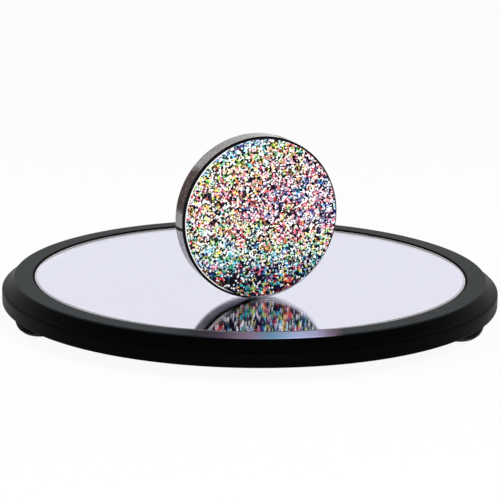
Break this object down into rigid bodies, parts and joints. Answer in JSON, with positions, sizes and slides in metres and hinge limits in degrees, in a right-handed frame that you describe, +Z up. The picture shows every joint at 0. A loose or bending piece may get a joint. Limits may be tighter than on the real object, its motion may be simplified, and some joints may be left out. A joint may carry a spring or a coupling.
{
  "type": "spinning disk toy",
  "caption": "Heavy rounded steel disk with a glitter film on one face, standing on edge on a slightly concave round mirror in a black moulded base on feet.",
  "frame": {"origin": "on the ground, under the centre of the mirror", "axes": "+Z up, +X to the user's right, -Y towards the user"},
  "size_m": [0.237, 0.237, 0.0927],
  "materials": {
    "polished_steel": "chrome plated and polished",
    "flexible_magnet": "flexible magnet sheet",
    "glitter_film": "holographic glitter film",
    "mirror": "back-silvered glass with a ground bevel",
    "slate_plastic": "black moulding with a satin top",
    "black_plastic": "satin moulding",
    "foam": "closed-cell foam tape",
    "screw_steel": "zinc plated",
    "rubber": "soft moulded rubber"
  },
  "bodies": {
    "base": {"mirror_glass": "mirror", "bezel": "slate_plastic", "tray": "black_plastic", "foam_ring": "foam", "centre_pad": "foam", "screws": "screw_steel", "foot_left": "rubber", "foot_right": "rubber", "foot_back": "rubber"},
    "disk": {"steel_disk": "polished_steel"},
    "film": {"magnet_sheet": "flexible_magnet", "glitter_film": "glitter_film"}
  },
  "joints": [
    {"name": "disk_spin", "type": "hinge", "parent": "base", "child": "disk", "pos_m": [0.0027, -0.0312, 0.01645], "axis": [0, 0, 1], "continuous": true},
    {"name": "film_pull", "type": "slide", "parent": "disk", "child": "film", "axis": [0.3584, -0.9336, 0], "range_m": [0, 0.03]}
  ]
}
